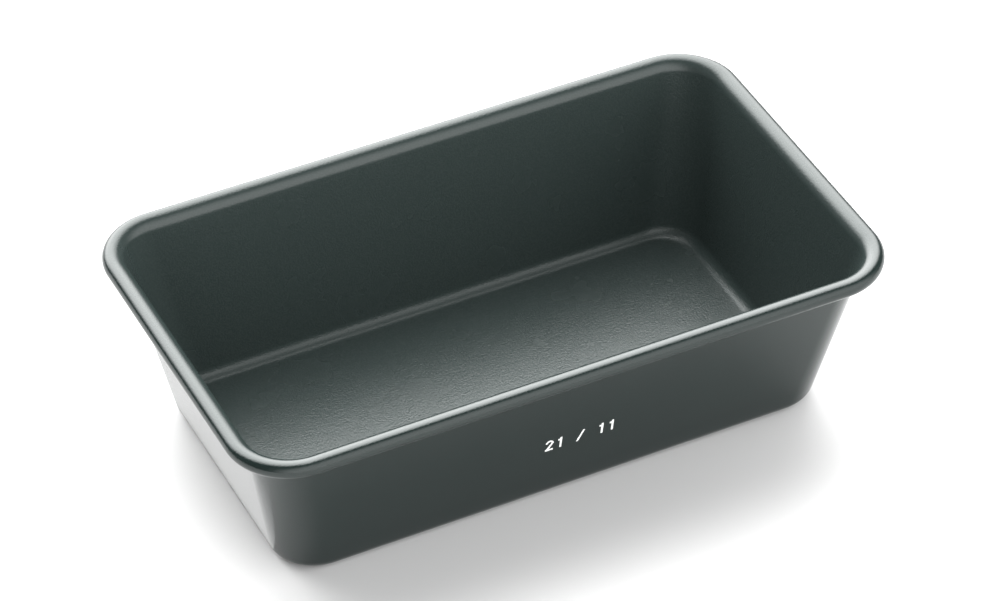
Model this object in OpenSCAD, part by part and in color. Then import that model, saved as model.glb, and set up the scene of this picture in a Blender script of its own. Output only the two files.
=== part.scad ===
// Loaf pan: one drawn steel sheet with leaning walls and rounded corners. Its top edge bends
// outward and rolls over a closed wire loop, and the front wall has a small printed mark.
// Origin: the middle of the underside. X runs along the pan, Y across it, +Z is up. Millimetres.

/* [Pan] */
// Length over the rolled rim
pan_length = 230; // [160:1:340]
// Width over the rolled rim
pan_width = 138.5; // [100:0.5:220]
// Height from the underside to the top of the rim
pan_height = 63; // [45:0.5:100]
// How far the walls lean out from upright, in degrees
wall_lean = 11; // [4:0.5:16]
// Thickness of the steel sheet
sheet = 0.9; // [0.6:0.1:1.1]

/* [Corners] */
// Radius of the rim's corners seen from above, to the outside of the roll
rim_corner_r = 22; // [18:1:32]
// Inside radius where the walls meet the floor
floor_fillet_r = 4.5; // [3:0.5:8]

/* [Rim] */
// Radius of the upper face where the wall bends outward into the rim
bend_r = 4.8; // [4:0.1:7]
// Outside diameter of the roll at the rim's edge
roll_d = 5.4; // [4.6:0.1:6]
// Gap left between the end of the roll and the bend above it
roll_gap = 0.2; // [0.1:0.05:1]
// Gap between the wire and the sheet rolled over it
wire_clearance = 0.15; // [0.15:0.05:0.3]

/* [Printed mark] */
// Height of the figures
figure_h = 5; // [3:0.5:8]
// Width of one figure
figure_w = 2.8; // [2:0.1:4]
// Width of the figures' strokes
stroke = 0.7; // [0.4:0.1:0.9]
// Space between two figures
figure_gap = 0.9; // [0.5:0.1:2]
// Thickness of the printed film
film = 0.1; // [0.06:0.02:0.2]
// Middle of the mark, right of the middle of the front wall
mark_x = 3; // [-40:1:40]
// Middle of the mark, above the underside
mark_z = 26; // [18:1:38]

/* [Hidden] */

// Steps in a quarter of a corner's turn, the turn of one step of the roll, and steps in other arcs
corner_steps = 10;
roll_step = 18;
bend_steps = 5;
fillet_steps = 5;
$fn = 72;

// The bend's and the roll's circles touch at the top of the rim, one centre below the other
roll_r = roll_d / 2;
roll_z = pan_height - roll_r;
bend_z = pan_height - bend_r;
wire_d = roll_d - 2 * (sheet + wire_clearance);
lean_slope = tan(wall_lean);

// Where the wall ends and the bend begins
rim_z = bend_z + bend_r * sin(wall_lean);

// A section across one side. Its first number is the way out from the corner centres, which lean
// out with the walls, and its second is the height.
roll_mid = [rim_corner_r - roll_r + lean_slope * rim_z, roll_z];
bend_mid = [roll_mid[0], bend_z];
fillet_z = sheet + floor_fillet_r;
fillet_reach = bend_r + floor_fillet_r - sin(wall_lean) * (fillet_z - bend_z);
fillet_mid = [bend_mid[0] - fillet_reach / cos(wall_lean), fillet_z];

// The roll turns from the top of the rim, out and under, until its end nears the bend's lower face
rise = bend_z - roll_z;
roll_end_sine = ((bend_r - sheet - roll_gap) ^ 2 - roll_r ^ 2 - rise ^ 2) / (-2 * roll_r * rise);
roll_turn = 270 + asin(roll_end_sine);
roll_steps = ceil(roll_turn / roll_step);

function along_arc(mid, r, from, to, steps) =
    [for (i = [0:steps]) let (a = from + (to - from) * i / steps) mid + r * [cos(a), sin(a)]];
function all_but_first(list) = [for (i = [1:len(list) - 1]) list[i]];

// The sheet's upper face runs from the floor to the end of the roll, and its lower face comes back
wall_side = 180 - wall_lean;
roll_end = 90 - roll_turn;
fillet_top = along_arc(fillet_mid, floor_fillet_r, -90, -wall_lean, fillet_steps);
bend_top = along_arc(bend_mid, bend_r, wall_side, 90, bend_steps);
roll_outside = along_arc(roll_mid, roll_r, 90, roll_end, roll_steps);
roll_inside = along_arc(roll_mid, roll_r - sheet, roll_end, 90, roll_steps);
bend_underside = along_arc(bend_mid, bend_r - sheet, 90, wall_side, bend_steps);
fillet_underside = along_arc(fillet_mid, floor_fillet_r + sheet, -wall_lean, -90, fillet_steps);

// The corner centres at the underside; they move out by lean_slope for each millimetre of height
centre_x = pan_length / 2 - rim_corner_r - lean_slope * rim_z;
centre_y = pan_width / 2 - rim_corner_r - lean_slope * rim_z;

// One turn round the pan for a point p of the section: four corner arcs joined by straight sides.
// The corner centres are taken at centre_z, so the leaning wall keeps one radius from floor to rim.
function ring(p, centre_z) = [
    for (corner = [0:3], i = [0:corner_steps])
        let (
            side = [[1, 1], [-1, 1], [-1, -1], [1, -1]][corner],
            a = 90 * (corner + i / corner_steps),
            lean = lean_slope * centre_z,
            r = p[0] - lean
        )
        [side[0] * (centre_x + lean) + r * cos(a), side[1] * (centre_y + lean) + r * sin(a), p[1]]
];
function wall_rings(points) = [for (p = points) ring(p, p[1])];
function rim_rings(points) = [for (p = points) ring(p, rim_z)];
ring_size = 4 * (corner_steps + 1);

// The front wall's outer face at the height of the printed mark
wall_foot = fillet_underside[0];
mark_y = -(centre_y + wall_foot[0] + lean_slope * (mark_z - wall_foot[1]));

// Joins each ring to the next, and closes the first and the last with flat caps
module swept_sheet(rings) {
    last = len(rings) - 1;
    sides = [
        for (j = [0:last - 1], i = [0:ring_size - 1])
            let (n = (i + 1) % ring_size)
            [j * ring_size + i, (j + 1) * ring_size + i, (j + 1) * ring_size + n, j * ring_size + n]
    ];
    first_cap = [for (i = [0:ring_size - 1]) i];
    last_cap = [for (i = [ring_size - 1:-1:0]) last * ring_size + i];
    polyhedron(points = [for (r = rings) each r], faces = concat(sides, [first_cap, last_cap]));
}

module pan_shell() {
    color([0.25, 0.31, 0.29])
        swept_sheet(concat(
            wall_rings(fillet_top),
            rim_rings(bend_top),
            rim_rings(all_but_first(roll_outside)),
            rim_rings(roll_inside),
            rim_rings(all_but_first(bend_underside)),
            wall_rings(fillet_underside)
        ));
}

// A quarter of the loop: one corner, with half of the straight side at each end of it
module wire_quarter() {
    half_x = pan_length / 2 - rim_corner_r;
    half_y = pan_width / 2 - rim_corner_r;
    turn_r = rim_corner_r - roll_r;
    translate([half_x, half_y, roll_z]) {
        rotate_extrude(angle = 90) translate([turn_r, 0]) circle(d = wire_d);
        translate([0, turn_r, 0]) rotate([0, -90, 0]) cylinder(d = wire_d, h = half_x);
        translate([turn_r, 0, 0]) rotate([90, 0, 0]) cylinder(d = wire_d, h = half_y);
    }
}

module rim_wire() {
    color([0.66, 0.67, 0.68])
        for (flip_x = [0, 1], flip_y = [0, 1])
            mirror([flip_x, 0, 0]) mirror([0, flip_y, 0]) wire_quarter();
}

// Figures stand on the X axis with their left edge on the Y axis, each stroke a film of its own
module ink() {
    linear_extrude(film) children();
}

module figure_one() {
    ink() translate([figure_w / 2, 0]) square([stroke, figure_h]);
    ink() translate([figure_w / 2 - stroke, figure_h - 2 * stroke]) square([1.5 * stroke, stroke]);
}

module figure_two() {
    bowl_r = figure_w / 2;
    bowl_z = figure_h - bowl_r;
    ink() difference() {
        translate([bowl_r, bowl_z]) circle(r = bowl_r);
        translate([bowl_r, bowl_z]) circle(r = bowl_r - stroke);
        translate([-stroke, 0]) square([bowl_r + stroke, bowl_z]);
        translate([bowl_r, 0]) square([bowl_r + stroke, bowl_z - stroke / 2]);
    }
    ink() polygon([
        [figure_w - stroke, bowl_z],
        [figure_w, bowl_z],
        [1.5 * stroke, stroke / 2],
        [0, stroke / 2]
    ]);
    ink() square([figure_w, stroke]);
}

module slash() {
    ink() polygon([[0, 0], [stroke, 0], [figure_w, figure_h], [figure_w - stroke, figure_h]]);
}

// The figures lie in the plane of the leaning front wall, and empty places stand round the slash
module printed_mark() {
    pitch = figure_w + figure_gap;
    mark_w = 7 * pitch - figure_gap;
    color([0.93, 0.94, 0.93])
        translate([mark_x, mark_y, mark_z])
            rotate([90 + wall_lean, 0, 0])
                translate([-mark_w / 2, -figure_h / 2, 0]) {
                    figure_two();
                    translate([pitch, 0, 0]) figure_one();
                    translate([3 * pitch, 0, 0]) slash();
                    translate([5 * pitch, 0, 0]) figure_one();
                    translate([6 * pitch, 0, 0]) figure_one();
                }
}

pan_shell();
rim_wire();
printed_mark();
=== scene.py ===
"""Looks of the loaf pan: the drawn sheet with its rolled rim as one smooth mesh in a satin
non-stick coating, the wire inside the rim and the printed mark. Metres, in the frame of the
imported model: +X along the pan, +Y to its back wall, +Z up."""

import math
from collections import namedtuple

import bmesh
import bpy
from mathutils import Matrix, Vector


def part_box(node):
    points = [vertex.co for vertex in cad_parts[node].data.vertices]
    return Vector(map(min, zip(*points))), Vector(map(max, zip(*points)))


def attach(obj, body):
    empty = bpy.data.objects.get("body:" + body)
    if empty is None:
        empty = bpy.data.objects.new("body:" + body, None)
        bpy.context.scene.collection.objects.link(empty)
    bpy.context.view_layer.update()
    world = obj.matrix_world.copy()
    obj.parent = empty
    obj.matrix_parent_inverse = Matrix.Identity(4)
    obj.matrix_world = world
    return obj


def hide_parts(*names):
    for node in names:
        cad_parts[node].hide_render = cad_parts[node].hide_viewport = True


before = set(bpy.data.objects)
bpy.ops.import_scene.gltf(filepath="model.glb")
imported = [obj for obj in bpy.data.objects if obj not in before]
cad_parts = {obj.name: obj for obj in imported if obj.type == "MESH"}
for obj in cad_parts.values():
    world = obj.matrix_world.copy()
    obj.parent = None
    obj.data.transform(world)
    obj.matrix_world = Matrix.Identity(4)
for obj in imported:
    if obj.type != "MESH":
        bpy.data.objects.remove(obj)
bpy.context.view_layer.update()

MM = 0.001
UNIT = (0.0, 1.0)

# The camera: degrees round from the front, up and rolled, then millimetres of lens and sensor
CAMERA_AZIMUTH = -25.79
CAMERA_ELEVATION = 39.98
CAMERA_ROLL = -0.72
CAMERA_DISTANCE = 1.480
CAMERA_TARGET = Vector((0.0050, 0.00555, 0.035))
CAMERA_LENS = 162.72
CAMERA_SENSOR = 36.0
CAMERA_CLIP = (0.05, 30.0)

# The pan's own sizes, as in the CAD source
HALF_LENGTH, HALF_WIDTH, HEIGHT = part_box("pan_shell")[1]
WALL_LEAN = math.radians(11.0)
SHEET = 0.9 * MM
RIM_CORNER_R = 22.0 * MM
FLOOR_FILLET_R = 4.5 * MM
BEND_R = 4.8 * MM
ROLL_R = 2.7 * MM
ROLL_GAP = 0.2 * MM

# The heights of the bend's and the roll's middles and of the wall's end, and the corner centres
# at the underside, which move out by LEAN_SLOPE for each unit of height
LEAN_SLOPE = math.tan(WALL_LEAN)
BEND_Z = HEIGHT - BEND_R
ROLL_Z = HEIGHT - ROLL_R
RIM_Z = BEND_Z + BEND_R * math.sin(WALL_LEAN)
CENTRE_X = HALF_LENGTH - RIM_CORNER_R - LEAN_SLOPE * RIM_Z
CENTRE_Y = HALF_WIDTH - RIM_CORNER_R - LEAN_SLOPE * RIM_Z
CORNERS = [(1, 1), (-1, 1), (-1, -1), (1, -1)]

# How finely the mesh is divided, and how near to each other points are welded
CORNER_STEPS = 28
LONG_STEPS = 36
SHORT_STEPS = 16
FILLET_STEPS = 10
WALL_STEPS = 14
BEND_STEPS = 14
ROLL_STEPS = 36
FLOOR_EDGE_STEPS = 4
WELD = 0.001 * MM

# The coating: its fine grain, its larger unevenness, and its two skins, the outer one darker
# partly by painted shade
GRAIN_SCALE, GRAIN_BUMP, SPECK_BAND = 1700.0, 0.1 * MM, (0.38, 0.66)
CLOUD_SCALE, CLOUD_BAND, CLOUD_SWING = 45.0, (0.3, 0.7), (0.97, 1.03)
# The outer skin is far darker than the inner one: partly its own coat, partly painted shade
# standing in for the shadowed floor that the outer walls face.
OUTER_DARK_PAINTED_SHADE, OUTER_PALE_PAINTED_SHADE = (0.003, 0.009, 0.008), (0.006, 0.012, 0.011)
INNER_DARK, INNER_PALE = (0.027, 0.038, 0.036), (0.033, 0.044, 0.042)
OUTER_TO_INNER_ROUGHNESS = (0.16, 0.27)
OUTER_SPECULAR, OUTER_GRAIN = 0.5, 0.4
INNER_SPECULAR, INNER_GRAIN = 0.36, 1.0
COATING_IOR = 1.5
COATING_TINT = (0.96, 1.0, 0.99, 1.0)

# The bare wire and the print
WIRE_COLOUR = (0.42, 0.43, 0.44, 1.0)
WIRE_SCRATCH_SCALE, WIRE_ROUGHNESS = 900.0, (0.25, 0.5)
PRINT_DARK, PRINT_PALE = (0.72, 0.74, 0.73), (0.9, 0.91, 0.9)
PRINT_SPECK_SCALE, PRINT_ROUGHNESS = 3000.0, 0.55

# The floor, and the card that lies on it along the left wall
BLACK = (0.0, 0.0, 0.0, 1.0)
WHITE = (1.0, 1.0, 1.0, 1.0)
FLOOR_ENDS = (-6.0, 6.0)
FLOOR_Z = -0.2 * MM
FLOOR_COLOUR = (0.66, 0.66, 0.66, 1.0)
FLOOR_ROUGHNESS = 0.9
CARD_X = (-HALF_LENGTH - 7 * MM, -HALF_LENGTH + 17 * MM)
CARD_Y = (-36 * MM, 108 * MM)
CARD_Z = 0.5 * MM
CARD_GLOW = 1.35

# The softbox on the right, and the tent's own glow with two soft lights in it. Their azimuths
# are degrees round from +Y towards +X; each is full out to its core and gone at its edge.
FILL_PLACE = Vector((1.3, -0.1, 0.75))
FILL_SIZE = (1.4, 0.9)
FILL_RADIANCE = 2.5
TENT_RADIANCE = 0.35
Glow = namedtuple("Glow", "azimuth elevation core edge radiance")
KEY = Glow(azimuth=6, elevation=43, core=0, edge=52, radiance=9.8)
FRONT = Glow(azimuth=165, elevation=5, core=30, edge=75, radiance=2.4)


def add_to_scene(name, data):
    thing = bpy.data.objects.new(name, data)
    bpy.context.scene.collection.objects.link(thing)
    return thing


# ---------------------------------------------------------------- camera

def make_camera():
    a, e, r = (math.radians(v) for v in (CAMERA_AZIMUTH, CAMERA_ELEVATION, CAMERA_ROLL))
    back = Vector((math.sin(a) * math.cos(e), -math.cos(a) * math.cos(e), math.sin(e)))
    side = Vector((0, 0, 1)).cross(back).normalized()
    up = back.cross(side)
    rolled_side = side * math.cos(r) + up * math.sin(r)
    rolled_up = up * math.cos(r) - side * math.sin(r)
    turn = Matrix((rolled_side, rolled_up, back)).transposed().to_4x4()
    data = bpy.data.cameras.new("camera")
    data.sensor_width = CAMERA_SENSOR
    data.lens = CAMERA_LENS
    data.clip_start, data.clip_end = CAMERA_CLIP
    camera = add_to_scene("camera", data)
    camera.matrix_world = Matrix.Translation(CAMERA_TARGET + back * CAMERA_DISTANCE) @ turn
    bpy.context.scene.camera = camera


# ---------------------------------------------------------------- the sheet's section

def arc(mid, radius, start, end, steps):
    turns = [start + (end - start) * i / steps for i in range(steps + 1)]
    return [(mid[0] + radius * math.cos(a), mid[1] + radius * math.sin(a)) for a in turns]


def line(start, end, steps):
    """The points between start and end, without the two ends."""
    return [
        tuple(s + (t - s) * i / steps for s, t in zip(start, end)) for i in range(1, steps)
    ]


def section_middles():
    """The middles of the roll, the bend and the fillet: each one's way out and its height."""
    roll_mid = (RIM_CORNER_R - ROLL_R + LEAN_SLOPE * RIM_Z, ROLL_Z)
    bend_mid = (roll_mid[0], BEND_Z)
    fillet_z = SHEET + FLOOR_FILLET_R
    reach = BEND_R + FLOOR_FILLET_R - math.sin(WALL_LEAN) * (fillet_z - BEND_Z)
    return roll_mid, bend_mid, (bend_mid[0] - reach / math.cos(WALL_LEAN), fillet_z)


def roll_end():
    """The turn at which the roll stops, ROLL_GAP short of the lower face of the bend."""
    rise = ROLL_Z - BEND_Z
    reach = BEND_R - SHEET - ROLL_GAP
    return -math.pi - math.asin((reach ** 2 - ROLL_R ** 2 - rise ** 2) / (2 * ROLL_R * rise))


def on_wall(points, inner):
    return [(out, height, height, inner) for out, height in points]


def on_rim(points, inner):
    return [(out, height, RIM_Z, inner) for out, height in points]


def fading_on_rim(points):
    """The bend, where the look of the inside gives way to that of the outside."""
    return [(out, z, RIM_Z, 1 - i / len(points)) for i, (out, z) in enumerate(points)]


def floor_edge(height, reach, inner):
    """The flat floor from the corner centres to the start of the fillet."""
    start = LEAN_SLOPE * height
    step = (reach - start) / FLOOR_EDGE_STEPS
    return [(start + step * i, height, height, inner) for i in range(FLOOR_EDGE_STEPS)]


def sheet_section():
    """Points of the sheet's section, each with its way out from the corner centres, its height,
    the height at which those centres are taken, and how far it belongs to the inside of the pan.
    They run from the floor up the inside, round the roll, and back down the outside."""
    roll_mid, bend_mid, fillet_mid = section_middles()
    top, down, wall_side, end = math.pi / 2, -math.pi / 2, math.pi - WALL_LEAN, roll_end()

    fillet_in = arc(fillet_mid, FLOOR_FILLET_R, down, -WALL_LEAN, FILLET_STEPS)
    bend_in = arc(bend_mid, BEND_R, wall_side, top, BEND_STEPS)
    roll_out = arc(roll_mid, ROLL_R, top, end, ROLL_STEPS)[1:]
    roll_in = arc(roll_mid, ROLL_R - SHEET, end, top, ROLL_STEPS)
    bend_out = arc(bend_mid, BEND_R - SHEET, top, wall_side, BEND_STEPS)[1:]
    fillet_out = arc(fillet_mid, FLOOR_FILLET_R + SHEET, -WALL_LEAN, down, FILLET_STEPS)
    inside = fillet_in + line(fillet_in[-1], bend_in[0], WALL_STEPS)
    outside = line(bend_out[-1], fillet_out[0], WALL_STEPS) + fillet_out

    reach = fillet_mid[0]
    upper = floor_edge(SHEET, reach, 1.0) + on_wall(inside, 1.0) + fading_on_rim(bend_in)
    lower = on_rim(roll_out + roll_in + bend_out, 0.0) + on_wall(outside, 0.0)
    return upper + lower + floor_edge(0.0, reach, 0.0)[::-1]


# ---------------------------------------------------------------- the pan's mesh

def ring(out, height, centre_height):
    """One turn round the pan: four corner arcs, with the straight sides divided between them."""
    lean = LEAN_SLOPE * centre_height
    radius = out - lean
    cx, cy = CENTRE_X + lean, CENTRE_Y + lean
    points = []
    for corner, (sx, sy) in enumerate(CORNERS):
        for i in range(CORNER_STEPS + 1):
            a = math.pi / 2 * (corner + i / CORNER_STEPS)
            points.append((sx * cx + radius * math.cos(a), sy * cy + radius * math.sin(a)))
        nx, ny = CORNERS[(corner + 1) % 4]
        a = math.pi / 2 * (corner + 1)
        following = (nx * cx + radius * math.cos(a), ny * cy + radius * math.sin(a))
        points += line(points[-1], following, LONG_STEPS if corner % 2 == 0 else SHORT_STEPS)
    return [Vector((x, y, height)) for x, y in points]


def add_skin(mesh, side):
    """The section swept round the pan, as far in as the corner centres on both faces."""
    rings = []
    for out, height, centre_height, inner in sheet_section():
        rings.append([mesh.verts.new(p) for p in ring(out, height, centre_height)])
        for vertex in rings[-1]:
            vertex[side] = inner
    for near, far in zip(rings, rings[1:]):
        for i in range(len(near)):
            n = (i + 1) % len(near)
            mesh.faces.new([near[i], near[n], far[n], far[i]])


def add_floor_grid(mesh, side, height, facing_up):
    """The flat rectangle between the corner centres."""
    cx, cy = CENTRE_X + LEAN_SLOPE * height, CENTRE_Y + LEAN_SLOPE * height
    rows = []
    for j in range(SHORT_STEPS + 1):
        y = cy * (2 * j / SHORT_STEPS - 1)
        xs = [cx * (2 * i / LONG_STEPS - 1) for i in range(LONG_STEPS + 1)]
        rows.append([mesh.verts.new((x, y, height)) for x in xs])
    for vertex in sum(rows, []):
        vertex[side] = 1.0 if facing_up else 0.0
    for low, high in zip(rows, rows[1:]):
        for i in range(LONG_STEPS):
            face = [low[i], low[i + 1], high[i + 1], high[i]]
            mesh.faces.new(face if facing_up else face[::-1])


def make_pan():
    """The pan as one closed mesh. Material 0 is for the outer skin and 1 for the inner one."""
    mesh = bmesh.new()
    side = mesh.verts.layers.float.new("inside")
    add_skin(mesh, side)
    add_floor_grid(mesh, side, SHEET, True)
    add_floor_grid(mesh, side, 0.0, False)
    bmesh.ops.remove_doubles(mesh, verts=mesh.verts, dist=WELD)
    bmesh.ops.recalc_face_normals(mesh, faces=mesh.faces)
    for face in mesh.faces:
        face.smooth = True
        face.material_index = int(all(vertex[side] == 1.0 for vertex in face.verts))
    data = bpy.data.meshes.new("pan")
    mesh.to_mesh(data)
    mesh.free()
    return add_to_scene("pan", data)


# ---------------------------------------------------------------- shader nodes

def new_material(name):
    material = bpy.data.materials.new(name)
    material.use_nodes = True
    return material, material.node_tree, material.node_tree.nodes["Principled BSDF"]


def set_inputs(node, values):
    for name, value in values.items():
        node.inputs[name].default_value = value


def object_place(tree):
    return tree.nodes.new("ShaderNodeTexCoord").outputs["Object"]


def add_noise(tree, place, scale, detail):
    node = tree.nodes.new("ShaderNodeTexNoise")
    set_inputs(node, {"Scale": scale, "Detail": detail})
    tree.links.new(place, node.inputs["Vector"])
    return node.outputs["Fac"]


def add_range(tree, value, source, target):
    """Maps the value from one range to another, each a pair of ends."""
    node = tree.nodes.new("ShaderNodeMapRange")
    set_inputs(node, dict(zip(("From Min", "From Max", "To Min", "To Max"), (*source, *target))))
    tree.links.new(value, node.inputs["Value"])
    return node.outputs["Result"]


def add_mix(tree, factor, first, second):
    """Mixes two colours, each a tuple or a socket."""
    node = tree.nodes.new("ShaderNodeMix")
    node.data_type = "RGBA"
    tree.links.new(factor, node.inputs["Factor"])
    for socket, colour in ((node.inputs["A"], first), (node.inputs["B"], second)):
        if isinstance(colour, tuple):
            socket.default_value = (*colour, 1.0)
        else:
            tree.links.new(colour, socket)
    return node.outputs["Result"]


def add_math(tree, operation, first, second):
    """Joins a socket with another socket or with a number."""
    node = tree.nodes.new("ShaderNodeMath")
    node.operation = operation
    tree.links.new(first, node.inputs[0])
    if isinstance(second, float):
        node.inputs[1].default_value = second
    else:
        tree.links.new(second, node.inputs[1])
    return node.outputs["Value"]


def add_bump(tree, height, strength, distance):
    node = tree.nodes.new("ShaderNodeBump")
    set_inputs(node, {"Strength": strength, "Distance": distance})
    tree.links.new(height, node.inputs["Height"])
    return node.outputs["Normal"]


# ---------------------------------------------------------------- materials

def coating_material(name, specular, grain_depth):
    """The satin coating: dark and glossier outside, paler and coarser inside the pan; the darker
    outside is partly painted shade.
    """
    material, tree, shader = new_material(name)
    attribute = tree.nodes.new("ShaderNodeAttribute")
    attribute.attribute_name = "inside"
    inside = attribute.outputs["Fac"]
    place = object_place(tree)
    grain = add_noise(tree, place, GRAIN_SCALE, 1.0)
    cloud = add_noise(tree, place, CLOUD_SCALE, 3.0)

    speck = add_range(tree, grain, SPECK_BAND, UNIT)
    # Painted shade: the outer colours are kept far darker than the inner ones, partly for the
    # shadowed floor that the outer walls face.
    outer_painted_shade = add_mix(tree, speck, OUTER_DARK_PAINTED_SHADE, OUTER_PALE_PAINTED_SHADE)
    inner = add_mix(tree, speck, INNER_DARK, INNER_PALE)
    rough = add_range(tree, inside, UNIT, OUTER_TO_INNER_ROUGHNESS)
    uneven = add_range(tree, cloud, CLOUD_BAND, CLOUD_SWING)
    bump = add_bump(tree, grain, grain_depth, GRAIN_BUMP)
    tree.links.new(add_mix(tree, inside, outer_painted_shade, inner), shader.inputs["Base Color"])
    tree.links.new(add_math(tree, "MULTIPLY", rough, uneven), shader.inputs["Roughness"])
    tree.links.new(bump, shader.inputs["Normal"])
    set_inputs(shader, {"Specular IOR Level": specular, "IOR": COATING_IOR})
    set_inputs(shader, {"Specular Tint": COATING_TINT})
    return material


def wire_material():
    """Drawn steel with fine scratches."""
    material, tree, shader = new_material("wire_steel")
    scratches = add_noise(tree, object_place(tree), WIRE_SCRATCH_SCALE, 3.0)
    roughness = add_range(tree, scratches, UNIT, WIRE_ROUGHNESS)
    tree.links.new(roughness, shader.inputs["Roughness"])
    set_inputs(shader, {"Base Color": WIRE_COLOUR, "Metallic": 1.0})
    return material


def print_material():
    """Flat white ink, a little uneven."""
    material, tree, shader = new_material("white_print")
    speckle = add_noise(tree, object_place(tree), PRINT_SPECK_SCALE, 2.0)
    colour = add_mix(tree, speckle, PRINT_DARK, PRINT_PALE)
    tree.links.new(colour, shader.inputs["Base Color"])
    set_inputs(shader, {"Roughness": PRINT_ROUGHNESS})
    return material


def dress(node, material):
    """Gives a CAD node its material."""
    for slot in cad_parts[node].material_slots:
        slot.material = material


# ---------------------------------------------------------------- stage and light

def add_stage_plane(name, x_ends, y_ends, z, material):
    (x_low, x_high), (y_low, y_high) = x_ends, y_ends
    corners = [(x_low, y_low, z), (x_high, y_low, z), (x_high, y_high, z), (x_low, y_high, z)]
    data = bpy.data.meshes.new(name)
    data.from_pydata(corners, [], [(0, 1, 2, 3)])
    data.materials.append(material)
    plane = add_to_scene(name, data)
    return plane


def make_floor():
    material, _, shader = new_material("pale_floor")
    set_inputs(shader, {"Base Color": FLOOR_COLOUR, "Roughness": FLOOR_ROUGHNESS})
    set_inputs(shader, {"Specular IOR Level": 0.0})
    add_stage_plane("floor", FLOOR_ENDS, FLOOR_ENDS, FLOOR_Z, material)


def make_card():
    """A glowing card lying along the left wall, seen only as a reflection in that wall."""
    material, _, shader = new_material("card_glow")
    set_inputs(shader, {"Base Color": BLACK, "Emission Color": WHITE})
    set_inputs(shader, {"Emission Strength": CARD_GLOW})
    material.cycles.emission_sampling = "NONE"
    card = add_stage_plane("card", CARD_X, CARD_Y, CARD_Z, material)
    card.visible_camera = card.visible_diffuse = card.visible_shadow = False


def make_fill():
    """A softbox on the right that faces the pan and doesn't show in its gloss."""
    data = bpy.data.lights.new("right_box", "AREA")
    data.shape = "RECTANGLE"
    data.size, data.size_y = FILL_SIZE
    data.energy = FILL_RADIANCE * math.pi * FILL_SIZE[0] * FILL_SIZE[1]
    light = add_to_scene("right_box", data)
    light.location = FILL_PLACE
    light.rotation_euler = (-FILL_PLACE).to_track_quat("-Z", "Y").to_euler()
    light.visible_glossy = False


def add_glow(tree, direction, glow):
    """A round soft light in the tent."""
    a, e = math.radians(glow.azimuth), math.radians(glow.elevation)
    near = tree.nodes.new("ShaderNodeVectorMath")
    near.operation = "DOT_PRODUCT"
    near.inputs[1].default_value = (
        math.sin(a) * math.cos(e), math.cos(a) * math.cos(e), math.sin(e)
    )
    tree.links.new(direction, near.inputs[0])
    fall = (math.cos(math.radians(glow.edge)), math.cos(math.radians(glow.core)))
    strength = add_range(tree, near.outputs["Value"], fall, (0.0, glow.radiance))
    strength.node.interpolation_type = "SMOOTHSTEP"
    return strength


def make_world():
    """A pale tent round the set, with its key light behind the pan and a softer one in front."""
    world = bpy.data.worlds.new("studio")
    world.use_nodes = True
    tree = world.node_tree
    direction = tree.nodes.new("ShaderNodeTexCoord").outputs["Generated"]
    lights = add_math(
        tree, "ADD", add_glow(tree, direction, KEY), add_glow(tree, direction, FRONT)
    )
    strength = add_math(tree, "ADD", lights, TENT_RADIANCE)
    background = tree.nodes["Background"]
    tree.links.new(strength, background.inputs["Strength"])
    set_inputs(background, {"Color": WHITE})
    bpy.context.scene.world = world
    bpy.context.scene.view_settings.view_transform = "Standard"


# ---------------------------------------------------------------- the scene

make_camera()

pan = make_pan()
pan.data.materials.append(coating_material("coating", OUTER_SPECULAR, OUTER_GRAIN))
pan.data.materials.append(coating_material("coating_inside", INNER_SPECULAR, INNER_GRAIN))
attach(pan, "root")
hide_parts("pan_shell")
dress("rim_wire", wire_material())
dress("printed_mark", print_material())

make_floor()
make_card()
make_fill()
make_world()
